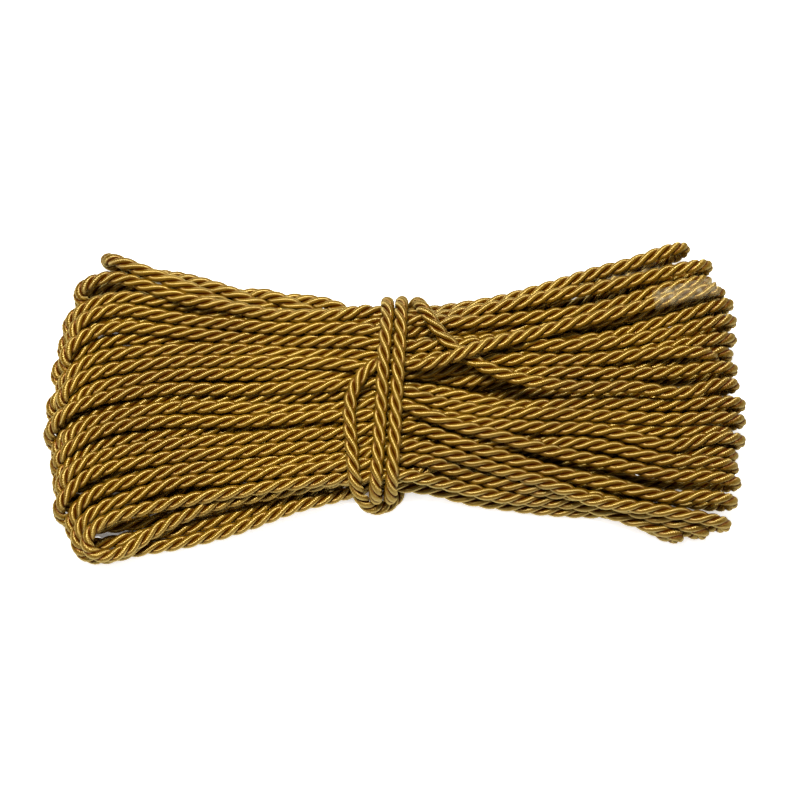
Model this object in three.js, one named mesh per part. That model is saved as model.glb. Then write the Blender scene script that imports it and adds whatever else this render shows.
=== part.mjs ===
// A hank of three-ply twisted cord, tied round its waist with its own end.
//
// Millimetres, +Z up. X runs along the hank from its fanned end (-X) to its folded end (+X), and Y across
// it. The origin is the middle of the hank's footprint, on the surface that it lies on.

import * as THREE from 'three';

// Driving dimensions
const CORD_DIAMETER = 5;
const CORD_RADIUS = CORD_DIAMETER / 2;
const CLEARANCE = 0.3;
const CORD_SIDES = 10;

// The hank's top has a ridge for each run of cord that shows at the waist.
const RIDGE_COUNT = 18;
const RIDGE_DEPTH = 1.3;
const RIDGE_SEGMENTS = 4;
const FLANK_SEGMENTS = 6;

// The wound form, one row for each section along it: where it is, its far and near edges across, and the
// height of its underside and of its top. It is lifted at the waist, where the cord goes round it.
const HANK_SECTIONS = [
  { x: -125.0, far: -9.0, near: -19.0, base: 5.0, top: 10.0 },
  { x: -123.0, far: 8.0, near: -30.0, base: 1.6, top: 13.4 },
  { x: -119.0, far: 23.5, near: -42.5, base: 0.0, top: 15.2 },
  { x: -114.5, far: 38.0, near: -52.0, base: 0.0, top: 16.4 },
  { x: -108.5, far: 47.0, near: -57.0, base: 0.0, top: 17.0 },
  { x: -103.0, far: 51.5, near: -59.0, base: 0.0, top: 17.4 },
  { x: -94.0, far: 51.5, near: -57.5, base: 0.0, top: 17.6 },
  { x: -80.0, far: 49.5, near: -53.0, base: 0.0, top: 17.8 },
  { x: -60.0, far: 44.0, near: -47.5, base: 0.8, top: 17.8 },
  { x: -40.0, far: 40.0, near: -41.5, base: 3.4, top: 17.8 },
  { x: -20.0, far: 36.8, near: -36.5, base: 6.2, top: 18.2 },
  { x: -8.0, far: 35.8, near: -34.4, base: 5.8, top: 18.6 },
  { x: 5.0, far: 35.6, near: -34.4, base: 5.8, top: 18.6 },
  { x: 18.0, far: 36.5, near: -35.5, base: 5.0, top: 18.2 },
  { x: 38.0, far: 40.5, near: -38.5, base: 3.0, top: 17.8 },
  { x: 58.0, far: 45.5, near: -41.0, base: 0.8, top: 17.8 },
  { x: 76.0, far: 50.5, near: -42.5, base: 0.0, top: 17.8 },
  { x: 94.0, far: 56.5, near: -47.5, base: 0.0, top: 17.8 },
  { x: 103.0, far: 59.0, near: -50.5, base: 0.0, top: 17.8 },
  { x: 110.0, far: 53.0, near: -49.0, base: 0.0, top: 17.4 },
  { x: 117.0, far: 42.5, near: -44.5, base: 0.0, top: 16.6 },
  { x: 121.5, far: 34.0, near: -38.5, base: 1.6, top: 14.8 },
  { x: 125.0, far: 2.0, near: -14.0, base: 5.0, top: 11.0 },
];

// The waist, at its narrowest, and how far out the cord rounds its edges
const WAIST = { far: 35.8, near: -34.6, base: 5.8, top: 18.6 };
const EDGE_SLACK = 1.2;
const TURN_STEPS = 60;

// The three turns round the waist in the order in which the cord makes them: where each one leaves the far
// edge for the underside, comes up over the near edge, and reaches the far edge again. The last is slack
// and doesn't reach the far edge, because its end is tucked under the other two.
const WAIST_TURNS = [
  { underX: 6.4, nearX: -1.6, farX: 2.4 },
  { underX: 1.2, nearX: -7.0, farX: -3.2 },
  { underX: -4.6, nearX: -11.6 },
];
const TUCK = { y: 13.0, reach: 15.0, rise: 6.2 };

// The slack turn's way up the top of the hank, to where it goes under the other two
const SLACK_RUN = [
  { x: -14.6, y: -22.4 },
  { x: -16.0, y: -14.6 },
  { x: -17.0, y: -6.0 },
  { x: -16.4, y: 0.4 },
  { x: -13.2, y: 6.2 },
];

// The run that crosses the top of the hank to the waist's far edge, where the turns start
const RUNNING_LEAD = [
  { x: 75.0, y: 5.2 },
  { x: 64.0, y: 6.0 },
  { x: 54.0, y: 7.2 },
  { x: 45.0, y: 9.0 },
  { x: 37.5, y: 11.4 },
  { x: 30.5, y: 14.8 },
  { x: 24.0, y: 18.8 },
  { x: 18.2, y: 23.4 },
  { x: 13.6, y: 27.6 },
  { x: 11.8, y: 30.2 },
];
const LEAD_STEPS = 9;
const LEAD_OVER_EDGE_X = 8.4;

// The tucked end, from under the turns out to its tip
const LOOSE_END = [
  { x: -8.0, y: 11.4 },
  { x: -3.6, y: 13.0 },
  { x: 1.6, y: 13.6 },
  { x: 8.0, y: 14.4 },
  { x: 16.0, y: 16.4 },
  { x: 23.4, y: 19.4 },
  { x: 36.0, y: 23.2 },
  { x: 51.0, y: 27.6 },
  { x: 65.0, y: 30.2 },
  { x: 79.0, y: 33.4 },
  { x: 94.0, y: 38.0 },
  { x: 105.0, y: 40.8 },
  { x: 114.6, y: 42.0 },
];
const LOOSE_STEPS = 12;
const LEAD_CROSSING = { x: 24.0, reach: 17.0, rise: 6.2 };
const TIP_LIFT = { reach: 36.0, rise: 2.2 };

// The clear tape of both ends: a sleeve round the loose end, and a strip that shows of the first end
const END_TAPE = { length: 24, gap: 0.6, wall: 0.45, sides: 12, steps: 4 };
const START_TAPE = { x: 83.5, y: 47.4, length: 19, width: 4.2, height: 0.6, turn: 0.31, lift: 1.4 };

const SATIN = { color: 0xa57d23, roughness: 0.42, metalness: 0.0 };
const FILM = { color: 0xe8e4da, roughness: 0.12, metalness: 0.0, transparent: true, opacity: 0.35 };

/** The hank's section at a place along it, between the rows of the table. */
function sectionAt(x) {
  const after = HANK_SECTIONS.findIndex((section) => section.x >= x);
  const low = HANK_SECTIONS[after - 1];
  const high = HANK_SECTIONS[after];
  const share = (x - low.x) / (high.x - low.x);
  const mix = (column) => THREE.MathUtils.lerp(low[column], high[column], share);
  return { x, far: mix('far'), near: mix('near'), base: mix('base'), top: mix('top') };
}

/** How far in from its edges a section's round flanks reach. */
function flankReach({ far, near, base, top }) {
  return Math.min((top - base) / 2, (far - near) / 4);
}

/** A smooth hump: 1 at its middle and 0 past its reach. */
function hump(distance, reach) {
  const share = Math.min(Math.abs(distance) / reach, 1);
  return 0.5 * (1 + Math.cos(Math.PI * share));
}

/** The points round one section: ridged top, far flank, flat underside and near flank. */
function sectionRing(section) {
  const { x, far, near, base, top } = section;
  const flank = flankReach(section);
  const middle = (base + top) / 2;
  const half = (top - base) / 2;
  const depth = Math.min(RIDGE_DEPTH, half / 5);
  const points = [];
  const ridgeSteps = RIDGE_COUNT * RIDGE_SEGMENTS;
  for (let step = 0; step <= ridgeSteps; step += 1) {
    const across = step / ridgeSteps;
    const valley = Math.abs(Math.cos(Math.PI * across * RIDGE_COUNT)) ** 3;
    const y = THREE.MathUtils.lerp(near + flank, far - flank, across);
    points.push(new THREE.Vector3(x, y, top - depth * valley));
  }
  for (let step = 1; step <= FLANK_SEGMENTS; step += 1) {
    const angle = Math.PI / 2 - (Math.PI * step) / FLANK_SEGMENTS;
    const y = far - flank + flank * Math.cos(angle);
    points.push(new THREE.Vector3(x, y, middle + half * Math.sin(angle)));
  }
  for (let step = 0; step < FLANK_SEGMENTS; step += 1) {
    const angle = -Math.PI / 2 + (Math.PI * step) / FLANK_SEGMENTS;
    const y = near + flank - flank * Math.cos(angle);
    points.push(new THREE.Vector3(x, y, middle + half * Math.sin(angle)));
  }
  return points;
}

/** A closed solid through rings of equally many points, with a fan of triangles over each end. */
function loft(rings) {
  const size = rings[0].length;
  const lastRow = rings.length - 1;
  const middleOf = (ring) => {
    const sum = ring.reduce((total, point) => total.add(point), new THREE.Vector3());
    return sum.divideScalar(size);
  };
  const points = [...rings.flat(), middleOf(rings[0]), middleOf(rings[lastRow])];
  const firstMiddle = rings.length * size;
  const lastMiddle = firstMiddle + 1;
  const faces = [];
  for (let side = 0; side < size; side += 1) {
    const next = (side + 1) % size;
    for (let row = 0; row < lastRow; row += 1) {
      const here = row * size;
      const there = here + size;
      faces.push(here + side, there + next, here + next);
      faces.push(here + side, there + side, there + next);
    }
    faces.push(firstMiddle, side, next);
    faces.push(lastMiddle, lastRow * size + next, lastRow * size + side);
  }
  const geometry = new THREE.BufferGeometry().setFromPoints(points);
  geometry.setIndex(faces);
  geometry.computeVertexNormals();
  return geometry;
}

/** A regular many-sided section for a tube. */
function roundSection(radius, sides) {
  const corners = [];
  for (let side = 0; side < sides; side += 1) {
    const angle = (2 * Math.PI * (side + 0.5)) / sides;
    corners.push(new THREE.Vector2(radius * Math.cos(angle), radius * Math.sin(angle)));
  }
  return new THREE.Shape(corners);
}

/** A section swept along points, closed at both ends. */
function sweep(shape, points, steps) {
  const extrudePath = new THREE.CatmullRomCurve3(points, false, 'centripetal');
  return new THREE.ExtrudeGeometry(shape, { steps, extrudePath, bevelEnabled: false });
}

/** A stretch of plain cord along points. */
function cord(points, steps) {
  return sweep(roundSection(CORD_RADIUS, CORD_SIDES), points, steps);
}

/** Points round the waist's far or near edge: far ones go down and near ones go up. */
function roundEdge(side, fromX, toX) {
  const half = (WAIST.top - WAIST.base) / 2;
  const reach = half + CLEARANCE + CORD_RADIUS + EDGE_SLACK;
  const edge = side > 0 ? WAIST.far - half : WAIST.near + half;
  return [0.2, 0.4, 0.6, 0.8].map((share) => {
    const height = Math.cos(Math.PI * share) * side;
    const y = edge + side * reach * Math.sin(Math.PI * share);
    const z = (WAIST.top + WAIST.base) / 2 + reach * height;
    return new THREE.Vector3(THREE.MathUtils.lerp(fromX, toX, share), y, z);
  });
}

/** Points under the waist, from its far edge to its near edge. */
function acrossUnderside(fromX, toX) {
  return [0.16, 0.5, 0.84].map((share) => {
    const y = THREE.MathUtils.lerp(WAIST.far, WAIST.near, share);
    const x = THREE.MathUtils.lerp(fromX, toX, share);
    return new THREE.Vector3(x, y, WAIST.base - CLEARANCE - CORD_RADIUS);
  });
}

/** Points over the waist, from its near edge to its far edge, raised over the tucked end. */
function acrossTop(fromX, toX) {
  return [0.1, 0.25, 0.4, 0.5, 0.6, 0.68, 0.76, 0.9].map((share) => {
    const y = THREE.MathUtils.lerp(WAIST.near, WAIST.far, share);
    const rise = TUCK.rise * hump(y - TUCK.y, TUCK.reach);
    const x = THREE.MathUtils.lerp(fromX, toX, share);
    return new THREE.Vector3(x, y, WAIST.top + CLEARANCE + CORD_RADIUS + rise);
  });
}

/** The cord's three turns round the waist, up to where its end is tucked. */
function waistTurns() {
  const points = roundEdge(1, LEAD_OVER_EDGE_X, WAIST_TURNS[0].underX);
  WAIST_TURNS.forEach(({ underX, nearX, farX }, turn) => {
    points.push(...acrossUnderside(underX, nearX), ...roundEdge(-1, nearX, nearX));
    if (farX !== undefined) {
      points.push(...acrossTop(nearX, farX), ...roundEdge(1, farX, WAIST_TURNS[turn + 1].underX));
    }
  });
  points.push(...SLACK_RUN.map(({ x, y }) => new THREE.Vector3(x, y, restingHeight(x))));
  return cord(points, TURN_STEPS);
}

/** The height of the middle of a cord that lies on top of the hank. */
function restingHeight(x) {
  return sectionAt(x).top + CLEARANCE + CORD_RADIUS;
}

/** The run that leads over the hank to the waist's far edge. */
function runningLead() {
  const points = RUNNING_LEAD.map(({ x, y }) => new THREE.Vector3(x, y, restingHeight(x)));
  return cord(points, LEAD_STEPS);
}

/** The points of the tucked end: over the lead, then along the hank to the tip. */
function looseEndPoints() {
  const tip = LOOSE_END[LOOSE_END.length - 1];
  return LOOSE_END.map(({ x, y }) => {
    const crossing = LEAD_CROSSING.rise * hump(x - LEAD_CROSSING.x, LEAD_CROSSING.reach);
    const lift = TIP_LIFT.rise * hump(x - tip.x, TIP_LIFT.reach);
    return new THREE.Vector3(x, y, restingHeight(x) + crossing + lift);
  });
}

/** The clear tape round the loose end: a thin open sleeve, as long as the end's last stretch. */
function endTape() {
  const inner = CORD_RADIUS + END_TAPE.gap;
  const shape = roundSection(inner + END_TAPE.wall, END_TAPE.sides);
  shape.holes.push(roundSection(inner, END_TAPE.sides));
  const tip = LOOSE_END[LOOSE_END.length - 1];
  const points = looseEndPoints().filter((point) => point.x > tip.x - END_TAPE.length);
  return sweep(shape, points, END_TAPE.steps);
}

/** What shows of the first end's clear tape: a strip that follows the hank's far flank. */
function startTape() {
  const { x, y, length, width, height, turn, lift } = START_TAPE;
  const section = sectionAt(x);
  const reach = flankReach(section);
  const slope = Math.asin((y - section.far + reach) / reach);
  const half = (section.top - section.base) / 2;
  const shape = new THREE.Shape().absellipse(0, 0, length / 2, width / 2, 0, 2 * Math.PI);
  const geometry = new THREE.ExtrudeGeometry(shape, { depth: height, bevelEnabled: false });
  geometry.rotateZ(turn);
  geometry.translate(0, 0, half + lift);
  geometry.rotateX(-slope);
  geometry.translate(x, section.far - reach, section.base + half);
  return geometry;
}

/** A named mesh with a finish of its own. */
function part(name, geometry, finish) {
  const mesh = new THREE.Mesh(geometry, new THREE.MeshStandardMaterial(finish));
  mesh.name = name;
  return mesh;
}

const hank = new THREE.Group();
hank.add(part('hank', loft(HANK_SECTIONS.map(sectionRing)), SATIN));
hank.add(part('running_lead', runningLead(), SATIN));
hank.add(part('waist_turns', waistTurns(), SATIN));
hank.add(part('loose_end', cord(looseEndPoints(), LOOSE_STEPS), SATIN));
hank.add(part('end_tape', endTape(), FILM));
hank.add(part('start_tape', startTape(), FILM));

export default hank;
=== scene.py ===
"""A hank of gold three-ply twisted cord, wound in flat turns and tied round the waist with its own last metre.

The cord is one length. A table gives the place of each turn at the fold end, the waist and the fan end, and a loop
joins the turns into one route. The route then settles under its own weight, with the turns kept apart by their
thickness, and a twisted section is carried along it.

The tables are in millimetres, in the part's own frame: X along the hank, Y away from the viewer, Z up from the
surface that it lies on. The meshes are in metres.
"""

import logging
import math
from dataclasses import dataclass, field
from enum import Enum
from typing import NamedTuple

import bpy
import numpy as np
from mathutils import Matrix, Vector

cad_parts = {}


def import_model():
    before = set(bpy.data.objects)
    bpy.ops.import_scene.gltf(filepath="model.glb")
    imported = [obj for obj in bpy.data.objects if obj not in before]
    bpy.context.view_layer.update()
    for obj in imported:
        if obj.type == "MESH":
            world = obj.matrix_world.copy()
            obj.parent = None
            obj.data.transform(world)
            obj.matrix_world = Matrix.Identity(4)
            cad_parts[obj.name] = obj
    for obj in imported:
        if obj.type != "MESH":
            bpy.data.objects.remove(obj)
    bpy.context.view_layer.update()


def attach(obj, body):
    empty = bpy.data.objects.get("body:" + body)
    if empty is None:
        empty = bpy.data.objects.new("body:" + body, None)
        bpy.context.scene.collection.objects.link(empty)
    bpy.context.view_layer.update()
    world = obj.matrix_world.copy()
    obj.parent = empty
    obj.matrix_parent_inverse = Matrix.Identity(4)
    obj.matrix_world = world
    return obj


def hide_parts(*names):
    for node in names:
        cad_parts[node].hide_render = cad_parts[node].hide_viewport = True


MM = 0.001
CURVE_STEP = 0.5

Triple = tuple[float, float, float]
Shade = tuple[float, float, float, float]
Input = float | tuple[float, ...] | bpy.types.NodeSocket

LOG = logging.getLogger("hank")


class Stretch(Enum):
    """What a stretch of the cord does, which decides how firmly it keeps its place while the hank settles."""

    RUN = 0
    UNDER = 1
    WAIST = 2
    LOOP = 3
    FOLD = 4
    TIE = 5
    LOOSE_END = 6
    EDGE = 7


class Hold(NamedTuple):
    """How strongly a stretch is drawn back to its drawn place in each round of settling."""

    across: float
    height: float


HOLDS = {
    Stretch.RUN: Hold(across=0.030, height=0.006),
    Stretch.UNDER: Hold(across=0.020, height=0.004),
    Stretch.WAIST: Hold(across=0.012, height=0.0),
    Stretch.LOOP: Hold(across=0.080, height=0.020),
    Stretch.FOLD: Hold(across=0.060, height=0.040),
    Stretch.TIE: Hold(across=0.060, height=0.050),
    Stretch.LOOSE_END: Hold(across=0.080, height=0.015),
    Stretch.EDGE: Hold(across=0.060, height=0.040),
}


@dataclass(frozen=True)
class Cord:
    """Sizes of the twisted cord, in millimetres."""

    diameter: float = 5.0
    plies: int = 3
    ply_height: float = 1.10
    ply_width: float = 1.22
    ply_centre: float = 1.40
    groove_radius: float = 0.98
    pitch: float = 18.8

    @property
    def radius(self) -> float:
        """Outer radius of the twisted cord."""
        return self.diameter / 2


class FoldEnd(NamedTuple):
    """One upright fold at the right and the upper run that leaves it, as far as the waist.

    The upper run is at mouth where X is 100, at root where X is 73 and at near where X is 37, and it comes to the
    waist at waist. A low run lies between the upper and the lower layer. The lower leg comes to the fold by way of
    leg where X is 88.
    """

    tip_x: float
    tip_y: float
    top_z: float
    mouth: float
    root: float
    near: float
    waist: float
    leg: float
    low: bool


FOLD_ENDS = (
    FoldEnd(93.0, 51.3, 12.0, 51.3, 46.0, 32.5, 29.5, 48.0, True),
    FoldEnd(104.0, 57.0, 16.0, 54.5, 47.6, 36.7, 31.5, 52.5, False),
    FoldEnd(112.0, 50.0, 17.0, 48.0, 42.0, 34.2, 29.0, 46.5, False),
    FoldEnd(112.5, 45.3, 14.0, 43.0, 35.5, 29.9, 26.5, 40.0, False),
    FoldEnd(117.5, 41.5, 13.0, 36.0, 29.5, 27.4, 24.5, 35.5, True),
    FoldEnd(120.0, 37.0, 14.5, 31.0, 24.0, 24.3, 22.0, 33.5, True),
    FoldEnd(120.6, 30.0, 17.0, 25.3, 20.5, 21.0, 19.0, 25.0, False),
    FoldEnd(120.8, 23.0, 16.0, 20.6, 18.2, 17.4, 17.0, 20.5, True),
    FoldEnd(114.0, 17.8, 17.0, 17.6, 16.3, 14.4, 14.5, 17.0, True),
    FoldEnd(120.5, 18.8, 12.5, 15.4, 13.8, 12.8, 12.0, 15.5, False),
    FoldEnd(121.0, 12.0, 17.0, 10.5, 10.0, 10.5, 9.5, 9.5, True),
    FoldEnd(123.8, -1.0, 17.0, -1.5, -0.5, -1.5, 5.0, -1.0, False),
    FoldEnd(123.8, -7.0, 17.0, -7.0, -5.5, -4.5, -0.5, -5.0, False),
    FoldEnd(120.0, -11.0, 14.0, -11.0, -8.0, -7.0, -2.0, -8.5, True),
    FoldEnd(123.7, -14.5, 17.0, -17.0, -11.0, -9.5, -4.0, -12.0, True),
    FoldEnd(122.0, -19.0, 13.0, -19.0, -13.0, -12.0, -6.5, -16.0, True),
    FoldEnd(121.2, -24.5, 17.0, -22.5, -16.5, -15.0, -9.0, -20.5, True),
    FoldEnd(122.2, -30.0, 17.0, -28.0, -22.0, -14.0, -5.0, -27.6, False),
    FoldEnd(121.0, -37.0, 17.0, -36.0, -30.0, -20.0, -9.5, -33.2, False),
    FoldEnd(119.0, -45.0, 15.0, -42.0, -36.5, -25.0, -16.5, -35.5, False),
    FoldEnd(112.5, -47.5, 11.0, -44.5, -37.0, -29.5, -21.0, -38.0, True),
    FoldEnd(105.0, -48.5, 8.0, -45.5, -37.0, -33.5, -26.5, -40.0, False),
)
LEAD_FOLD = FoldEnd(121.6, 6.0, 17.0, 6.0, 3.0, 0.0, 0.0, 4.0, False)


class FanEnd(NamedTuple):
    """One loop at the left and the upper run that comes to it from the waist.

    The run comes from the fold of that number. It leaves the waist at waist and is at near where X is -41, at root
    where X is -80.5 and at mouth where X is -98.4. A low run lies between the upper and the lower layer. The lower
    run leaves the loop and is at under where X is -80.5.
    """

    fold: int
    waist: float
    near: float
    root: float
    mouth: float
    loop_x: float
    loop_y: float
    under: float
    low: bool


FAN_ENDS = (
    FanEnd(0, 26.0, 31.5, 45.0, 51.0, -105.0, 53.0, 48.5, True),
    FanEnd(1, 30.0, 37.0, 42.5, 45.3, -113.5, 39.0, 34.5, True),
    FanEnd(2, 27.0, 29.5, 40.3, 46.8, -112.5, 39.5, 38.0, False),
    FanEnd(3, 27.5, 30.0, 38.0, 40.3, -117.0, 27.0, 30.0, True),
    FanEnd(4, 25.5, 27.0, 31.5, 35.0, -115.0, 22.5, 23.5, False),
    FanEnd(5, 24.5, 26.0, 30.5, 31.0, -118.5, 19.0, 18.5, True),
    FanEnd(6, 22.0, 22.5, 26.5, 28.5, -117.0, 14.0, 13.5, False),
    FanEnd(7, 20.0, 20.0, 24.5, 25.0, -121.0, 8.0, 8.5, True),
    FanEnd(8, 17.0, 18.5, 19.5, 18.5, -118.5, 4.0, 3.5, False),
    FanEnd(9, 13.5, 14.5, 15.0, 13.0, -118.5, -1.0, -1.0, False),
    FanEnd(10, 13.0, 13.0, 13.5, 10.5, -122.0, -4.5, -5.5, True),
    FanEnd(11, 10.0, 10.5, 10.5, 7.5, -119.5, -8.5, -10.0, False),
    FanEnd(12, 5.5, 5.0, 5.5, 3.0, -122.3, -14.5, -15.5, False),
    FanEnd(13, 3.5, 2.5, 2.5, -1.0, -120.0, -18.0, -19.5, True),
    FanEnd(17, -2.0, -3.0, -1.5, -4.5, -118.5, -21.0, -23.0, False),
    FanEnd(14, -5.5, -6.5, -6.5, -8.0, -119.0, -25.0, -27.0, False),
    FanEnd(15, -7.0, -8.0, -10.5, -12.5, -120.0, -31.0, -31.5, True),
    FanEnd(18, -11.5, -12.5, -15.0, -18.0, -118.5, -34.5, -36.0, False),
    FanEnd(16, -16.0, -17.5, -20.0, -23.0, -119.6, -39.5, -42.4, False),
    FanEnd(19, -20.0, -21.5, -25.0, -30.0, -115.0, -46.8, -44.4, False),
    FanEnd(20, -24.0, -25.5, -29.5, -36.5, -113.0, -52.0, -50.0, False),
    FanEnd(21, -27.5, -31.0, -37.0, -42.0, -111.0, -49.5, -52.0, False),
)


class Place(NamedTuple):
    """One place on the cord's centreline."""

    x: float
    y: float
    z: float


HAIRPIN_OVER = (
    Place(-20.0, 28.0, 11.5),
    Place(-35.0, 30.5, 10.5),
    Place(-50.0, 33.5, 9.5),
    Place(-61.0, 36.5, 10.5),
    Place(-70.5, 40.0, 13.0),
    Place(-75.5, 42.5, 13.2),
    Place(-81.5, 45.0, 13.2),
    Place(-88.5, 47.5, 13.0),
    Place(-93.5, 49.5, 12.8),
)
HAIRPIN_TIP = (
    Place(-97.0, 51.4, 12.5),
    Place(-101.0, 53.1, 12.0),
    Place(-104.2, 54.2, 10.2),
    Place(-105.2, 54.2, 7.4),
    Place(-103.8, 53.4, 4.6),
    Place(-100.8, 52.2, 3.2),
)
HAIRPIN_BACK = (
    Place(-95.0, 50.5, 2.8),
    Place(-84.5, 49.5, 3.0),
    Place(-78.0, 48.5, 4.5),
    Place(-68.5, 44.5, 8.5),
    Place(-59.5, 41.0, 10.5),
    Place(-54.5, 38.0, 11.5),
    Place(-47.0, 35.5, 10.5),
    Place(-40.0, 33.5, 8.5),
    Place(-25.0, 32.0, 8.0),
)
EDGE_OVER = (
    Place(-15.0, 30.5, 9.0),
    Place(-22.0, 30.5, 10.5),
    Place(-27.5, 32.0, 12.5),
    Place(-33.0, 34.0, 13.0),
    Place(-38.0, 36.0, 13.0),
    Place(-42.5, 37.5, 12.5),
    Place(-46.5, 39.5, 11.0),
    Place(-52.0, 41.0, 8.0),
    Place(-57.0, 41.2, 5.5),
    Place(-68.0, 41.0, 5.0),
    Place(-80.5, 42.2, 5.5),
    Place(-90.0, 44.2, 6.0),
)
EDGE_BACK = (
    Place(-80.5, 38.0, 2.6),
    Place(-68.0, 38.0, 2.6),
    Place(-57.0, 37.5, 2.6),
    Place(-48.0, 38.0, 4.0),
    Place(-42.0, 39.0, 6.5),
    Place(-37.5, 38.5, 8.5),
    Place(-34.0, 38.0, 10.0),
    Place(-29.5, 37.0, 11.5),
    Place(-26.0, 36.0, 12.0),
    Place(-21.0, 34.5, 12.5),
    Place(-16.0, 33.0, 12.5),
)
OUTER_LOOP = (
    Place(-87.5, -39.0, 14.5),
    Place(-96.5, -41.5, 14.5),
    Place(-103.5, -44.0, 14.2),
    Place(-108.5, -47.0, 13.6),
    Place(-111.5, -51.0, 12.6),
    Place(-110.5, -54.5, 11.5),
    Place(-106.5, -56.5, 10.6),
    Place(-101.5, -56.5, 10.2),
    Place(-96.5, -54.5, 10.2),
    Place(-92.0, -50.5, 10.4),
)
OUTER_RUN = (
    Place(-87.5, -47.0, 10.6),
    Place(-82.0, -44.0, 10.8),
    Place(-75.0, -41.0, 11.0),
    Place(-68.5, -38.0, 11.0),
    Place(-60.0, -35.5, 11.0),
)
OUTER_UNDER = Place(-51.0, -34.0, 11.0)
OVER_PATHS = {0: HAIRPIN_OVER, 1: EDGE_OVER}
BACK_PATHS = {0: HAIRPIN_BACK, 2: EDGE_BACK}
BACK_WAIST_Z = {0: 8.0, 2: 12.5}


class Along(NamedTuple):
    """How far a lower run has gone from its waist place to its root place, at a part of the way."""

    part: float
    far_side: float
    near_side: float


FAN_SPREAD = (
    Along(0.25, 0.17, 0.21),
    Along(0.50, 0.40, 0.51),
    Along(0.75, 0.70, 0.79),
)
FOLD_SPREAD = (
    Along(0.25, 0.10, 0.36),
    Along(0.50, 0.34, 0.64),
    Along(0.75, 0.65, 0.88),
)


class LoopStep(NamedTuple):
    """A place on the way round a loop at the left: how far on it is along the hank, and how far across."""

    along: float
    across: float


# Along is the part of the way to the loop's tip, and across the part of the way to its side.
LOOP_IN = (LoopStep(0.45, 0.17), LoopStep(0.80, 0.46), LoopStep(0.97, 0.75))
# Along is the distance back from the tip, and across the part of the way from the loop's side to its exit.
LOOP_OUT = (LoopStep(1.0, 0.45), LoopStep(5.5, 0.85))
# Along is the place on the hank, and across the part of the way from the exit to the lower run.
LOOP_UNDER = (LoopStep(-101.0, 0.35), LoopStep(-91.0, 0.75))


@dataclass
class Route:
    """The cord's drawn route: places in millimetres, each with what the cord does there."""

    places: list[Triple] = field(default_factory=list)
    stretches: list[Stretch] = field(default_factory=list)
    far_side_growth: float = 0.000384

    def to(self, stretch: Stretch, *places: Triple) -> None:
        """Leads the cord on through some places.

        The tables were measured at the scale of the middle of the hank. The far side is farther off, so it is really
        a little bigger than it looks, and the near side a little smaller.

        Args:
            stretch: what the cord does on its way to them.
            places: the places, in millimetres.
        """
        for x, y, z in places:
            growth = 1 + self.far_side_growth * y
            self.places.append((x * growth, y * growth, z))
            self.stretches.append(stretch)

    def even(self, step: float) -> tuple[np.ndarray, np.ndarray]:
        """Carries a smooth curve through the places and divides it evenly.

        Args:
            step: the wished distance between nodes, in millimetres.

        Returns:
            The nodes, and each node's stretch as its number.
        """
        knots = np.array(self.places)
        ends = np.vstack([2 * knots[0] - knots[1], knots, 2 * knots[-1] - knots[-2]])
        pieces = []
        kinds = []
        for i in range(len(knots) - 1):
            curve = centripetal(ends[i : i + 4])
            pieces.append(curve)
            kinds.append(np.full(len(curve), self.stretches[i + 1].value))
        line = np.vstack([*pieces, knots[-1:]])
        kind = np.concatenate([*kinds, [self.stretches[-1].value]])
        run = arc_lengths(line)
        count = int(round(run[-1] / step))
        at = np.linspace(0.0, run[-1], count + 1)
        return sampled(line, at), kind[np.minimum(np.searchsorted(run, at), len(kind) - 1)]


def centripetal(four: np.ndarray) -> np.ndarray:
    """Samples the centripetal curve between the middle two of four places.

    Args:
        four: four places in a row.

    Returns:
        Points from the second place up to, and without, the third.
    """
    gaps = np.sqrt(np.linalg.norm(np.diff(four, axis=0), axis=1))
    t = np.concatenate([[0.0], np.cumsum(gaps)])
    samples = max(2, int(gaps[1] ** 2 / CURVE_STEP))
    u = np.linspace(t[1], t[2], samples, endpoint=False)[:, None]
    first = [four[i] + (four[i + 1] - four[i]) * (u - t[i]) / (t[i + 1] - t[i]) for i in range(3)]
    second = [first[i] + (first[i + 1] - first[i]) * (u - t[i]) / (t[i + 2] - t[i]) for i in range(2)]
    return second[0] + (second[1] - second[0]) * (u - t[1]) / (t[2] - t[1])


def arc_lengths(line: np.ndarray) -> np.ndarray:
    """Gives the distance along a line of points at each of them.

    Args:
        line: the points in order.

    Returns:
        One distance for each point, starting at nought.
    """
    return np.concatenate([[0.0], np.cumsum(np.linalg.norm(np.diff(line, axis=0), axis=1))])


def sampled(line: np.ndarray, at: np.ndarray) -> np.ndarray:
    """Gives the points that lie at some distances along a line."""
    run = arc_lengths(line)
    return np.stack([np.interp(at, run, line[:, axis]) for axis in range(3)], axis=1)


def even_out(line: np.ndarray, rounds: int) -> None:
    """Draws each inner point of a line halfway to the middle of its two neighbours, some rounds over."""
    for _ in range(rounds):
        line[1:-1] = 0.25 * line[:-2] + 0.5 * line[1:-1] + 0.25 * line[2:]


def mix(a: float, b: float, part: float) -> float:
    """Gives the value a part of the way from a to b."""
    return a + (b - a) * part


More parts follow.
